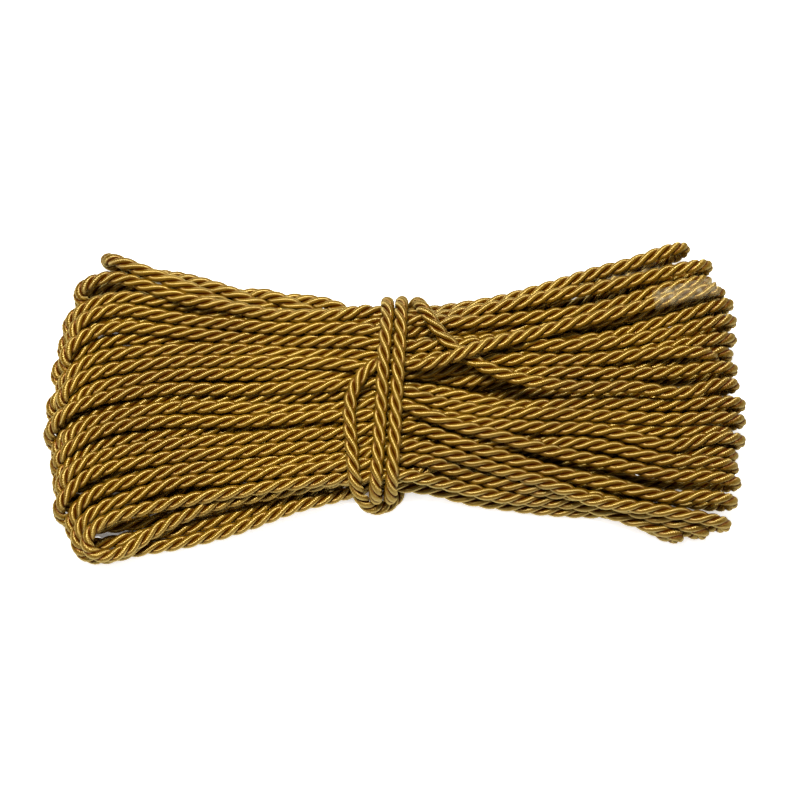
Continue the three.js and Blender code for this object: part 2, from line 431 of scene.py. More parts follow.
@dataclass
class Hank:
    """The winding: turn after turn, each with its fold, its run over the waist, its loop and its run back below."""

    fold_mouth_x: float = 100.0
    fold_leg_x: float = 88.0
    fold_root_x: float = 73.0
    fold_near_x: float = 37.0
    waist_right_x: float = 3.5
    waist_left_x: float = -7.5
    fan_near_x: float = -41.0
    fan_root_x: float = -80.5
    fan_mouth_x: float = -98.4
    upper_waist_z: float = 17.0
    low_waist_z: float = 13.5
    upper_fan_z: float = 14.5
    low_fan_z: float = 10.5
    floor_z: float = 2.6
    fold_under_far: float = 44.0
    fold_under_step: float = 3.88
    under_waist_far: float = 31.5
    under_waist_near: float = -31.5
    under_waist_z: tuple[float, float] = (11.0, 7.5)
    last_waist: tuple[float, float] = (-24.0, 11.0)
    lead_leg_z: float = 6.0
    lead_place: int = 11
    mouth_room: float = 9.0
    root_drop: float = 0.3
    overshoot: float = 1.5
    loop_depth: float = 5.0
    loop_least_z: float = 5.0
    loop_tip_z: float = 7.5
    loop_foot_z: float = 3.4
    loop_drops: tuple[float, float] = (0.6, 2.0)
    loop_middle_rise: float = 3.0
    fold_overshoot: float = 2.0
    fold_inset: float = 2.5
    fold_nose: float = 2.4
    fold_least_reach: float = 5.0
    fold_foot: float = 4.0
    fold_shoulder: float = 6.0
    fold_degrees: tuple[float, ...] = (-50.0, 0.0, 50.0)
    leg_rise: float = 2.9
    leg_slope: float = 1.4
    sway: float = 0.8
    sway_reach: tuple[float, float] = (14.0, 19.0)
    sway_shift: tuple[float, float] = (2.3, 1.7)

    def lay(self, route: Route) -> None:
        """Lays every turn into the route.

        Args:
            route: the route, which the turns are added to.
        """
        for number, fan in enumerate(FAN_ENDS):
            self.run_over(route, number, FOLD_ENDS[fan.fold], fan)
            if number == 0:
                route.to(Stretch.EDGE, *HAIRPIN_TIP)
            elif number < len(FAN_ENDS) - 1:
                self.loop(route, number, fan)
            else:
                self.outer_loop(route)
            self.run_back(route, number)

    def nearness(self, number: int) -> float:
        """Says how far a turn is from the far side, from 0 to 1."""
        return number / (len(FAN_ENDS) - 1)

    def swayed(self, number: int, x: float, y: float, z: float) -> Triple:
        """Shifts a place of an upper run a little, so that no run is quite straight.

        Args:
            number: the turn's number.
            x: the place along the hank.
            y: the place across it.
            z: its height.

        Returns:
            The shifted place.
        """
        sideways, upwards = (
            self.sway * math.sin(x / reach + shift * number) for reach, shift in zip(self.sway_reach, self.sway_shift)
        )
        return (x, y + sideways, z + upwards)

    def run_over(self, route: Route, number: int, fold: FoldEnd, fan: FanEnd) -> None:
        """Leads a turn's upper run from its fold over the waist to the fan.

        Args:
            route: the route so far.
            number: the turn's number.
            fold: the turn's places at the right.
            fan: its places at the left.
        """
        if number == 0:
            route.to(Stretch.FOLD, (fold.tip_x, fold.tip_y, fold.top_z))
        else:
            if fold.tip_x > self.fold_mouth_x + self.mouth_room:
                route.to(Stretch.RUN, (self.fold_mouth_x, fold.mouth, fold.top_z))
            middle_x = (self.fold_mouth_x + self.fold_root_x) / 2
            route.to(Stretch.RUN, (middle_x, (fold.mouth + fold.root) / 2, fold.top_z))
        waist_z = self.low_waist_z if fold.low else self.upper_waist_z
        near_z = (fold.top_z + waist_z) / 2
        root = (self.fold_root_x, fold.root, fold.top_z)
        near = (self.fold_near_x, fold.near, near_z)
        waist = (self.waist_right_x, fold.waist, waist_z)
        route.to(Stretch.RUN, self.swayed(number, self.fold_root_x, fold.root, fold.top_z - self.root_drop))
        route.to(Stretch.RUN, self.between(number, root, near), near, self.between(number, near, waist))
        route.to(Stretch.WAIST, waist)
        waist_z = self.low_waist_z if fan.low else self.upper_waist_z
        fan_z = self.low_fan_z if fan.low else self.upper_fan_z
        waist = (self.waist_left_x, fan.waist, waist_z)
        route.to(Stretch.WAIST, waist)
        if number in OVER_PATHS:
            route.to(Stretch.EDGE, *OVER_PATHS[number])
            return
        near = (self.fan_near_x, fan.near, (fan_z + waist_z) / 2)
        root = (self.fan_root_x, fan.root, fan_z)
        half_x = (self.fan_root_x + self.fan_mouth_x) / 2
        route.to(Stretch.RUN, self.between(number, waist, near), near, self.between(number, near, root))
        route.to(Stretch.RUN, root, (half_x, (fan.root + fan.mouth) / 2, fan_z))

    def between(self, number: int, start: Triple, end: Triple) -> Triple:
        """Gives the swayed place halfway between two places of an upper run."""
        return self.swayed(number, *((a + b) / 2 for a, b in zip(start, end)))

    def loop(self, route: Route, number: int, fan: FanEnd) -> None:
        """Turns the cord back at the fan end, down and under the next turns.

        Args:
            route: the route so far.
            number: the turn's number.
            fan: the turn's places at the left.
        """
        x, y, z = self.fan_mouth_x, fan.mouth, route.places[-1][2]
        tip_x = fan.loop_x - self.overshoot
        exit_y = fan.loop_y - self.loop_depth
        low_z = self.loop_least_z
        first_drop, second_drop = self.loop_drops
        heights = (z - first_drop, max(z - second_drop, low_z), z / 2 + self.loop_middle_rise)
        way_in = [
            (mix(x, tip_x, step.along), mix(y, fan.loop_y, step.across), height)
            for step, height in zip(LOOP_IN, heights)
        ]
        route.to(Stretch.RUN, (x, y, z), way_in[0])
        route.to(Stretch.LOOP, *way_in[1:], (tip_x, fan.loop_y, min(z, self.loop_tip_z)))
        for step, height in zip(LOOP_OUT, (low_z, self.loop_foot_z)):
            route.to(Stretch.LOOP, (tip_x + step.along, mix(fan.loop_y, exit_y, step.across), height))
        z = self.under_z(number)
        for step in LOOP_UNDER:
            route.to(Stretch.UNDER, (step.along, mix(exit_y, fan.under, step.across), z))
        if number not in BACK_PATHS:
            route.to(Stretch.UNDER, (self.fan_root_x, fan.under, z))

    def outer_loop(self, route: Route) -> None:
        """Turns the last loop, which lies open on top at the near corner and crosses back over itself.

        Args:
            route: the route so far.
        """
        route.to(Stretch.LOOP, *OUTER_LOOP)
        route.to(Stretch.RUN, *OUTER_RUN)
        route.to(Stretch.UNDER, OUTER_UNDER)

    def under_z(self, number: int) -> float:
        """Gives the height of a turn's lower run at the fan: every second one rides a little higher."""
        return self.floor_z if number % 2 else 2 * self.floor_z

    def run_back(self, route: Route, number: int) -> None:
        """Leads the cord back below the upper runs and up through the next fold.

        Args:
            route: the route so far.
            number: the turn's number.
        """
        last = number == len(FAN_ENDS) - 1
        near = self.nearness(number)
        start_x, start_y, start_z = route.places[-1]
        if last:
            waist_y, waist_z = self.last_waist
        else:
            waist_y = mix(self.under_waist_far, self.under_waist_near, near)
            waist_z = BACK_WAIST_Z.get(number, self.under_waist_z[number % 2])
        if number in BACK_PATHS:
            route.to(Stretch.EDGE, *BACK_PATHS[number])
        else:
            for row in reversed(FAN_SPREAD):
                part = 1 - row.part
                spread = 1 - mix(row.far_side, row.near_side, near)
                x = mix(start_x, self.waist_left_x, part)
                route.to(Stretch.UNDER, (x, mix(start_y, waist_y, spread), mix(start_z, waist_z, part)))
        route.to(Stretch.WAIST, (self.waist_left_x, waist_y, waist_z), (self.waist_right_x, waist_y, waist_z))
        if last:
            self.fold(route, waist_y, waist_z, LEAD_FOLD, self.lead_leg_z, self.lead_place)
        else:
            next_fold = FAN_ENDS[number + 1].fold
            self.fold(route, waist_y, waist_z, FOLD_ENDS[next_fold], self.floor_z, next_fold)

    def fold(self, route: Route, waist_y: float, waist_z: float, fold: FoldEnd, low_z: float, place: int) -> None:
        """Leads the cord from the waist to the fold end and folds it upright.

        Args:
            route: the route so far.
            waist_y: where the lower run crosses the waist.
            waist_z: its height there.
            fold: the fold's places.
            low_z: the height of the fold's lower leg.
            place: the fold's place in the row, counted from the far side.
        """
        near = self.nearness(place)
        root = self.fold_under_far - self.fold_under_step * place
        leg_z = low_z + self.leg_rise * ((place + 1) % 2)
        for row in FOLD_SPREAD:
            spread = mix(row.far_side, row.near_side, near)
            x = mix(self.waist_right_x, self.fold_root_x, row.part)
            z = mix(waist_z, leg_z, min(1.0, self.leg_slope * row.part))
            route.to(Stretch.UNDER, (x, mix(waist_y, root, spread), z))
        route.to(Stretch.UNDER, (self.fold_root_x, root, leg_z))
        half_height = (fold.top_z - low_z) / 2
        reach = max(half_height, self.fold_least_reach)
        centre_x = fold.tip_x + self.fold_overshoot - self.fold_inset - reach
        centre_z = (fold.top_z + low_z) / 2
        route.to(Stretch.UNDER, (self.fold_leg_x, fold.leg, leg_z))
        slope = (fold.tip_y - fold.root) / (fold.tip_x - self.fold_root_x)
        foot_x = centre_x - self.fold_nose
        line = [(foot_x - self.fold_foot, low_z), (foot_x, low_z)]
        for degrees in self.fold_degrees:
            height = math.sin(math.radians(degrees))
            x = centre_x + reach * math.cos(math.radians(degrees)) + self.fold_nose * height
            line.append((x, centre_z + half_height * height))
        line += [(centre_x, fold.top_z), (centre_x - self.fold_shoulder, fold.top_z)]
        for x, z in line:
            route.to(Stretch.FOLD, (x, fold.tip_y - slope * (fold.tip_x - x), z))


class Girth(NamedTuple):
    """A place that the two plain turns of the tie share, apart from where each lies along the hank."""

    first_x: float
    second_x: float
    y: float
    z: float


TIE_LEAD = (
    Place(108.5, 3.0, 17.0),
    Place(102.5, 2.0, 17.2),
    Place(96.0, 2.0, 17.6),
    Place(89.5, 3.2, 18.0),
    Place(83.0, 4.4, 18.5),
    Place(74.0, 3.5, 19.0),
    Place(63.0, 3.8, 19.5),
    Place(54.5, 4.6, 20.0),
    Place(44.0, 6.3, 20.3),
    Place(36.5, 8.5, 20.5),
    Place(30.5, 11.0, 20.6),
    Place(23.5, 15.0, 20.8),
    Place(17.5, 20.0, 21.0),
    Place(12.0, 25.5, 21.0),
    Place(8.5, 30.0, 20.0),
)
FIRST_TURN_DOWN = (
    Place(7.5, 34.0, 16.0),
    Place(7.0, 35.5, 11.0),
    Place(6.5, 33.5, 5.5),
)
SECOND_TURN_DOWN = (
    Place(2.3, 31.5, 20.6),
    Place(2.4, 35.5, 17.0),
    Place(2.2, 37.0, 12.0),
    Place(1.6, 34.5, 6.0),
)
ROUND_WAIST = (
    Girth(6.0, 0.8, 28.0, 2.9),
    Girth(4.5, -0.6, 18.0, 2.6),
    Girth(2.5, -2.8, 0.0, 2.6),
    Girth(0.0, -5.0, -18.0, 2.6),
    Girth(-1.0, -6.4, -28.0, 2.9),
    Girth(-1.7, -7.0, -33.8, 5.8),
    Girth(-1.8, -7.3, -36.0, 11.5),
    Girth(-1.4, -7.1, -34.0, 17.5),
    Girth(-1.0, -6.6, -28.0, 21.4),
    Girth(-0.6, -6.1, -20.0, 22.0),
    Girth(-0.2, -5.6, -12.0, 22.2),
    Girth(0.4, -4.9, -2.0, 22.6),
    Girth(0.9, -4.4, 6.0, 24.6),
    Girth(1.2, -4.1, 13.0, 26.6),
    Girth(1.6, -3.7, 20.0, 24.6),
    Girth(1.9, -3.3, 26.0, 22.0),
)
THIRD_TURN = (
    Place(-2.9, 30.5, 20.2),
    Place(-2.6, 33.5, 17.0),
    Place(-3.0, 35.0, 12.0),
    Place(-3.7, 33.0, 6.0),
    Place(-4.6, 28.0, 2.9),
    Place(-4.0, 18.0, 2.6),
    Place(-2.0, 0.0, 2.6),
    Place(0.0, -18.0, 2.6),
    Place(0.3, -27.0, 2.6),
    Place(-0.5, -32.0, 2.6),
    Place(-2.8, -35.8, 2.8),
    Place(-6.0, -37.6, 3.6),
    Place(-9.2, -37.6, 5.6),
    Place(-11.8, -36.0, 9.0),
    Place(-13.3, -33.5, 13.5),
    Place(-14.0, -30.0, 18.0),
    Place(-14.8, -24.5, 21.2),
    Place(-15.6, -15.5, 21.6),
    Place(-16.4, -6.5, 21.6),
    Place(-16.0, 0.0, 21.4),
    Place(-13.4, 5.5, 21.2),
    Place(-9.4, 10.0, 21.2),
    Place(-4.8, 12.5, 21.3),
    Place(0.6, 13.0, 21.4),
)
LOOSE_END = (
    Place(5.0, 10.0, 21.6),
    Place(10.0, 11.0, 22.0),
    Place(15.5, 12.0, 24.0),
    Place(19.5, 13.0, 26.0),
    Place(23.5, 14.5, 26.8),
    Place(29.5, 17.0, 25.2),
    Place(35.0, 19.0, 23.0),
    Place(43.8, 22.0, 20.5),
    Place(50.8, 24.0, 19.2),
    Place(57.8, 26.4, 18.6),
    Place(64.8, 28.4, 18.4),
    Place(71.8, 30.0, 18.4),
    Place(78.8, 31.6, 18.5),
    Place(85.7, 33.4, 18.8),
    Place(92.7, 35.2, 19.4),
    Place(99.6, 36.8, 20.0),
    Place(106.5, 38.4, 20.6),
    Place(113.0, 39.6, 21.0),
)


@dataclass(frozen=True)
class WaistTie:
    """The cord's last metre: a lead to the far edge of the waist, three turns round it and the tucked loose end.

    The places that show repeat those of the part's solids.
    """

    length: float = 900.0

    def lay(self, route: Route) -> None:
        """Leads the cord from the hank round the waist and out to its last end.

        Args:
            route: the route, which the tie is added to.
        """
        route.to(Stretch.TIE, *TIE_LEAD, *FIRST_TURN_DOWN)
        route.to(Stretch.TIE, *((row.first_x, row.y, row.z) for row in ROUND_WAIST), *SECOND_TURN_DOWN)
        route.to(Stretch.TIE, *((row.second_x, row.y, row.z) for row in ROUND_WAIST), *THIRD_TURN)
        route.to(Stretch.LOOSE_END, *LOOSE_END)


@dataclass
class Settling:
    """Lets the drawn cord settle: weight, stretch, stiffness, and turns that don't pass into each other."""

    cord: Cord
    node_step: float = 2.5
    rounds: int = 600
    squeeze: float = 0.95
    weight: float = 0.012
    swing: float = 0.6
    top_speed: float = 0.5
    tightest_bend: float = 6.5
    opening: float = 0.25
    evening: float = 0.01
    sharing: float = 0.45
    apart_along: int = 5
    look_every: int = 8
    look_beyond: float = 1.2
    late_grip: float = 0.5
    passes: int = 2
    last_evenings: int = 3

    def settle(self, route: Route) -> np.ndarray:
        """Settles the route.

        Args:
            route: the drawn route.

        Returns:
            The centreline's nodes, in millimetres.
        """
        drawn, kind = route.even(self.node_step)
        holds = np.array([HOLDS[stretch] for stretch in Stretch])[kind]
        across, height = holds[:, :1], holds[:, 1]
        rest = arc_lengths(drawn)[-1] / (len(drawn) - 1)
        least = self.cord.diameter * self.squeeze
        x = drawn.copy()
        speed = np.zeros_like(x)
        for number in range(self.rounds):
            if number % self.look_every == 0:
                pairs = self.neighbours(x, least + self.look_beyond)
            grip = 1.0 if number < self.rounds / 2 else self.late_grip
            x += speed * self.swing
            before = x.copy()
            x[:, 2] -= self.weight
            x[:, :2] += (drawn[:, :2] - x[:, :2]) * across * grip
            x[:, 2] += (drawn[:, 2] - x[:, 2]) * height * grip
            for _ in range(self.passes):
                self.stiffen(x)
                self.keep_length(x, rest)
                self.keep_apart(x, pairs, least)
            speed = np.clip(x - before, -self.top_speed, self.top_speed)
        even_out(x, self.last_evenings)
        return x

    def stiffen(self, x: np.ndarray) -> None:
        """Opens the bends that are tighter than the cord takes, and evens the rest a little.

        Args:
            x: the nodes, which are moved.
        """
        off = x[2:-2] - 0.5 * (x[:-4] + x[4:])
        size = np.linalg.norm(off, axis=1)
        most = (2 * self.node_step) ** 2 / (2 * self.tightest_bend)
        excess = np.where(size > most, (size - most) / np.maximum(size, 1e-9), 0.0)[:, None]
        change = excess * off * self.opening + off * self.evening
        x[2:-2] -= change
        x[:-4] += change * 0.5
        x[4:] += change * 0.5

    def keep_length(self, x: np.ndarray, rest: float) -> None:
        """Brings each link between two nodes back to its length, every second link at a time.

        Args:
            x: the nodes, which are moved.
            rest: the length of a link.
        """
        for start in (0, 1):
            a = x[start:-1:2]
            b = x[start + 1 :: 2]
            gap = b - a[: len(b)]
            size = np.linalg.norm(gap, axis=1)
            change = ((size - rest) / size * 0.5)[:, None] * gap
            x[start:-1:2][: len(b)] += change
            x[start + 1 :: 2] -= change

    def keep_apart(self, x: np.ndarray, pairs: tuple[np.ndarray, np.ndarray], least: float) -> None:
        """Pushes apart the nodes that are nearer than the cord is thick, and keeps the cord on the floor.

        Args:
            x: the nodes, which are moved.
            pairs: the numbers of the nodes that lie near each other.
            least: how near two of them may be.
        """
        first, second = pairs
        gap = x[first] - x[second]
        size = np.sqrt((gap * gap).sum(axis=1))
        close = size < least
        first, second, gap, size = first[close], second[close], gap[close], size[close]
        push = ((least - size) / np.maximum(size, 1e-6) * 0.5)[:, None] * gap
        touches = np.bincount(first, minlength=len(x)) + np.bincount(second, minlength=len(x))
        moved = [np.bincount(first, way, len(x)) - np.bincount(second, way, len(x)) for way in push.T]
        x += np.stack(moved, axis=1) / np.maximum(1.0, touches * self.sharing)[:, None]
        x[:, 2] = np.maximum(x[:, 2], self.cord.radius)

    def neighbours(self, x: np.ndarray, reach: float) -> tuple[np.ndarray, np.ndarray]:
        """Finds the nodes that lie near each other but not next to each other along the cord.

        Args:
            x: the nodes.
            reach: the distance to look within.

        Returns:
            The numbers of the first and second node of every pair.
        """
        cell = np.floor(x / reach).astype(np.int64)
        cell -= cell.min(axis=0) - 1
        size = cell.max(axis=0) + 2
        key = (cell[:, 0] * size[1] + cell[:, 1]) * size[2] + cell[:, 2]
        order = np.argsort(key, kind="stable")
        ranked = key[order]
        firsts = []
        seconds = []
        for dx in (-1, 0, 1):
            for dy in (-1, 0, 1):
                for dz in (-1, 0, 1):
                    there = key + (dx * size[1] + dy) * size[2] + dz
                    low = np.searchsorted(ranked, there, "left")
                    count = np.searchsorted(ranked, there, "right") - low
                    first = np.repeat(np.arange(len(x)), count)
                    offset = np.arange(count.sum()) - np.repeat(np.cumsum(count) - count, count)
                    second = order[np.repeat(low, count) + offset]
                    keep = second - first > self.apart_along
                    first, second = first[keep], second[keep]
                    keep = ((x[first] - x[second]) ** 2).sum(axis=1) < reach * reach
                    firsts.append(first[keep])
                    seconds.append(second[keep])
        return np.concatenate(firsts), np.concatenate(seconds)


class Waver(NamedTuple):
    """A slow unevenness of the twist: how far it goes, in radians, over what length, and where it starts."""

    size: float
    length: float
    start: float


class Grid(NamedTuple):
    """The skin of a stretch of cord: how many rings it has and how many points a ring has."""

    rings: int
    points: int

    def quads(self) -> tuple[np.ndarray, np.ndarray]:
        """Gives the ring and the point at which each of the skin's quads starts."""
        return np.meshgrid(np.arange(self.rings - 1), np.arange(self.points), indexing="ij")


@dataclass
class TwistedCord:
    """Carries the three-ply section along the settled centreline, turning with the twist."""

    cord: Cord
    centreline: np.ndarray
    ring_step: float = 1.05
    bend_twist: float = 4.5
    bend_reach: float = 8.0
    bend_press: float = 6.0
    most_press: float = 0.62
    pressed_radius: float = 2.35
    press_from: float = 0.03
    most_twist: float = 0.6
    arc_degrees: tuple[float, ...] = (-105.0, -75.0, -45.0, -15.0, 15.0, 45.0, 75.0, 105.0)
    groove_degrees: float = 132.0
    # Past shade_from_degrees round a ply, over shade_over_degrees, the colour is painted darker towards the groove, a
    # painted shade.
    shade_from_degrees: float = 80.0
    shade_over_degrees: float = 40.0
    # The middle of each cut end gets this part of the painted groove shade.
    end_shade: float = 0.5
    wavers: tuple[Waver, ...] = (Waver(0.22, 37.0, 0.0), Waver(0.16, 13.3, 1.0), Waver(0.30, 91.0, 2.0))
    ring_evenings: int = 2

    def __post_init__(self) -> None:
        """Places a ring frame at every step of the centreline."""
        run = arc_lengths(self.centreline)
        self.length = float(run[-1])
        count = int(round(self.length / self.ring_step))
        self.at = np.linspace(0.0, self.length, count + 1)
        self.line = sampled(self.centreline, self.at)
        even_out(self.line, self.ring_evenings)
        tangent = np.gradient(self.line, axis=0)
        self.tangent = tangent / np.linalg.norm(tangent, axis=1)[:, None]
        self.normal = self.carried_normals()
        self.binormal = np.cross(self.tangent, self.normal)
        self.bend = self.bends()
        self.section, self.depth, self.round_ply = self.section_points()

    def carried_normals(self) -> np.ndarray:
        """Carries one sideways direction along the centreline without twist.

        Returns:
            One unit normal for each ring.
        """
        normals = np.empty_like(self.line)
        normal = np.cross(self.tangent[0], (0.0, 0.0, 1.0))
        for i, tangent in enumerate(self.tangent):
            normal = normal - tangent * normal.dot(tangent)
            normal = normal / math.sqrt(normal.dot(normal))
            normals[i] = normal
        return normals

    def section_points(self) -> tuple[np.ndarray, np.ndarray, np.ndarray]:
        """Works out the section: an arc for each ply and a groove between two plies.

        Returns:
            The points, how deep each lies in a groove from 0 to 1, and the distance round its ply.
        """
        points = []
        depth = []
        round_ply = []
        cord = self.cord
        for ply in range(cord.plies):
            centre = 2 * math.pi * ply / cord.plies
            for degrees in self.arc_degrees:
                angle = math.radians(degrees)
                out = cord.ply_centre + cord.ply_height * math.cos(angle)
                side = cord.ply_width * math.sin(angle)
                x = out * math.cos(centre) - side * math.sin(centre)
                y = out * math.sin(centre) + side * math.cos(centre)
                points.append((x, y))
                # How far a point has gone into the painted groove shade.
                depth.append(max(0.0, (abs(degrees) - self.shade_from_degrees) / self.shade_over_degrees))
                round_ply.append(angle * cord.ply_width)
            groove = centre + math.pi / cord.plies
            points.append((cord.groove_radius * math.cos(groove), cord.groove_radius * math.sin(groove)))
            depth.append(1.0)
            round_ply.append(math.radians(self.groove_degrees) * cord.ply_width)
        return np.array(points), np.array(depth), np.array(round_ply)

    def bends(self) -> np.ndarray:
        """Works out how sharply the centreline bends round each ring, evened over a short reach.

        Returns:
            The bend at each ring, per millimetre.
        """
        bend = np.linalg.norm(np.gradient(self.tangent, axis=0), axis=1) / np.gradient(self.at)
        width = int(self.bend_reach / self.ring_step)
        return np.convolve(bend, np.hanning(2 * width + 1) / width, mode="same")

    def phases(self) -> np.ndarray:
        """Works out the twist: one turn a pitch, a little uneven, and tighter where the cord bends.

        Returns:
            The twist's angle at each ring.
        """
        rate = 1.0 + np.minimum(self.bend_twist * self.bend, self.most_twist)
        turned = np.concatenate([[0.0], np.cumsum(0.5 * (rate[1:] + rate[:-1]) * np.diff(self.at))])
        waver = sum(waver.size * np.sin(self.at / waver.length + waver.start) for waver in self.wavers)
        return 2 * math.pi * turned / self.cord.pitch + waver

    def piece(self, name: str, start: float, end: float) -> bpy.types.Object:
        """Makes one stretch of the cord as a closed mesh.

        Args:
            name: the piece's name.
            start: where it starts along the cord, in millimetres.
            end: where it ends.

        Returns:
            The piece, with its yarn and bake maps and its groove attribute.
        """
        first = int(round(start / self.length * (len(self.at) - 1)))
        last = int(round(end / self.length * (len(self.at) - 1)))
        rings = np.arange(first, last + 1)
        phase = self.phases()[rings]
        cos, sin = np.cos(phase)[:, None], np.sin(phase)[:, None]
        press = np.clip(self.bend_press * (self.bend[rings] - self.press_from), 0.0, self.most_press)[:, None]
        reach = np.linalg.norm(self.section, axis=1)
        swell = 1.0 + press * (self.pressed_radius / reach - 1.0)
        across = (self.section[:, 0] * cos - self.section[:, 1] * sin) * swell
        along = (self.section[:, 0] * sin + self.section[:, 1] * cos) * swell
        points = (
            self.line[rings][:, None, :]
            + across[:, :, None] * self.normal[rings][:, None, :]
            - along[:, :, None] * self.binormal[rings][:, None, :]
        )
        grid = Grid(*points.shape[:2])
        n, m = grid
        vertices = np.vstack([points.reshape(-1, 3), self.line[[first, last]]]) * MM
        i, j = grid.quads()
        right = (j + 1) % m
        quads = np.stack([i * m + j, (i + 1) * m + j, (i + 1) * m + right, i * m + right], axis=-1).reshape(-1, 4)
        ring = np.arange(m)
        start_cap = np.stack([np.full(m, n * m), ring, (ring + 1) % m], axis=1)
        end_cap = np.stack([np.full(m, n * m + 1), (n - 1) * m + (ring + 1) % m, (n - 1) * m + ring], axis=1)
        mesh = bpy.data.meshes.new(name)
        loops = np.concatenate([quads.ravel(), start_cap.ravel(), end_cap.ravel()])
        sizes = np.concatenate([np.full(len(quads), 4), np.full(2 * m, 3)])
        mesh.vertices.add(len(vertices))
        mesh.vertices.foreach_set("co", vertices.ravel())
        mesh.loops.add(len(loops))
        mesh.loops.foreach_set("vertex_index", loops.astype(np.int32))
        mesh.polygons.add(len(sizes))
        mesh.polygons.foreach_set("loop_start", (np.cumsum(sizes) - sizes).astype(np.int32))
        mesh.polygons.foreach_set("use_smooth", np.ones(len(sizes), bool))
        mesh.update(calc_edges=True)
        self.map_yarn(mesh, grid, self.at[rings])
        self.map_bake(mesh, grid)
        self.mark_grooves(mesh, grid)
        self.crease_grooves(mesh, grid)
        mesh.validate()
        made = bpy.data.objects.new(name, mesh)
        bpy.context.scene.collection.objects.link(made)
        return made

    def map_yarn(self, mesh: bpy.types.Mesh, grid: Grid, at: np.ndarray) -> None:
        """Gives the mesh a map in millimetres: along the cord, and round each ply.

        Args:
            mesh: the piece's mesh.
            grid: the size of its skin.
            at: how far along the cord each of its rings lies.
        """
        i, j = grid.quads()
        v = np.concatenate([self.round_ply, self.round_ply[:1]])
        arc = len(self.arc_degrees)
        v_right = np.where((j % (arc + 1)) == arc, -v[j], v[(j + 1)])
        v_left = v[j]
        uv = np.stack([at[i], v_left, at[i + 1], v_left, at[i + 1], v_right, at[i], v_right], axis=-1).reshape(-1)
        caps = np.zeros(2 * grid.points * 3 * 2)
        layer = mesh.uv_layers.new(name="yarn")
        layer.data.foreach_set("uv", np.concatenate([uv, caps]))

    def map_bake(self, mesh: bpy.types.Mesh, grid: Grid) -> None:
        """Gives the mesh a map without overlaps, the cord's skin cut into strips laid one above the other.

        The two ends lie side by side in a last strip of their own.

        Args:
            mesh: the piece's mesh.
            grid: the size of its skin.
        """
        n, m = grid
        girth = float(np.linalg.norm(np.diff(np.vstack([self.section, self.section[:1]]), axis=0), axis=1).sum())
        rows = max(1, int(round(math.sqrt(n * self.ring_step / girth))))
        per_row = math.ceil((n - 1) / rows)
        i, j = grid.quads()
        row = i // per_row
        column = i % per_row
        side_margin = 0.002
        margin = 0.02
        left = side_margin + (1 - 2 * side_margin) * column / per_row
        right = side_margin + (1 - 2 * side_margin) * (column + 1) / per_row
        low = (row + margin + (1 - 2 * margin) * j / m) / (rows + 1)
        high = (row + margin + (1 - 2 * margin) * (j + 1) / m) / (rows + 1)
        uv = np.stack([left, low, right, low, right, high, left, high], axis=-1).reshape(-1)
        caps = []
        cap_size = 0.3 / (rows + 1)
        angle = 2 * math.pi * np.arange(m + 1) / m
        for across, way in ((0.2, 1), (0.6, -1)):
            centre = (across, (rows + 0.5) / (rows + 1))
            for k in range(m):
                caps.append(centre)
                for turn in angle[[k, k + 1]][::way]:
                    caps.append((centre[0] + cap_size * math.cos(turn), centre[1] + cap_size * math.sin(turn)))
        layer = mesh.uv_layers.new(name="OFBake")
        layer.data.foreach_set("uv", np.concatenate([uv, np.array(caps).ravel()]))

    def mark_grooves(self, mesh: bpy.types.Mesh, grid: Grid) -> None:
        """Writes how deep each vertex lies between the plies, for the painted shade and the weaker gloss in the
        grooves.

        Args:
            mesh: the piece's mesh.
            grid: the size of its skin.
        """
        layer = mesh.attributes.new("groove", "FLOAT", "POINT")
        layer.data.foreach_set("value", np.concatenate([np.tile(self.depth, grid.rings), np.full(2, self.end_shade)]))

    def crease_grooves(self, mesh: bpy.types.Mesh, grid: Grid) -> None:
        """Keeps the shading sharp along the bottom of the grooves.

        Args:
            mesh: the piece's mesh.
            grid: the size of its skin.
        """
        ends = np.empty(2 * len(mesh.edges), np.int32)
        mesh.edges.foreach_get("vertices", ends)
        ends = ends.reshape(-1, 2)
        per_ply = len(self.arc_degrees) + 1
        on_skin = (ends < grid.rings * grid.points).all(axis=1)
        in_groove = ((ends % grid.points) % per_ply == per_ply - 1).all(axis=1)
        layer = mesh.attributes.new("sharp_edge", "BOOLEAN", "EDGE")
        layer.data.foreach_set("value", on_skin & in_groove)


class NodeBoard:
    """A new material and its nodes."""

    def __init__(self, name: str) -> None:
        """Makes the material with its one shader.

        Args:
            name: the material's name.
        """
        self.material = bpy.data.materials.new(name)
        self.material.use_nodes = True
        self.shader = self.material.node_tree.nodes["Principled BSDF"]

    def put(self, node: bpy.types.Node, inputs: dict[str | int, Input]) -> None:
        """Sets a node's inputs or joins them to the outputs of other nodes.

        Args:
            node: the node.
            inputs: a value or an output for each of them, by name or number.
        """
        for socket, value in inputs.items():
            if isinstance(value, bpy.types.NodeSocket):
                self.material.node_tree.links.new(value, node.inputs[socket])
            else:
                node.inputs[socket].default_value = value

    def add(self, kind: str, inputs: dict[str | int, Input], **settings: str | int) -> bpy.types.bpy_prop_collection:
        """Adds a node.

        Args:
            kind: its type, as in "TexNoise".
            inputs: what its inputs get, by name or number.
            settings: its other settings.

        Returns:
            The node's outputs.
        """
        node = self.material.node_tree.nodes.new(f"ShaderNode{kind}")
        for setting, value in settings.items():
            setattr(node, setting, value)
        self.put(node, inputs)
        return node.outputs


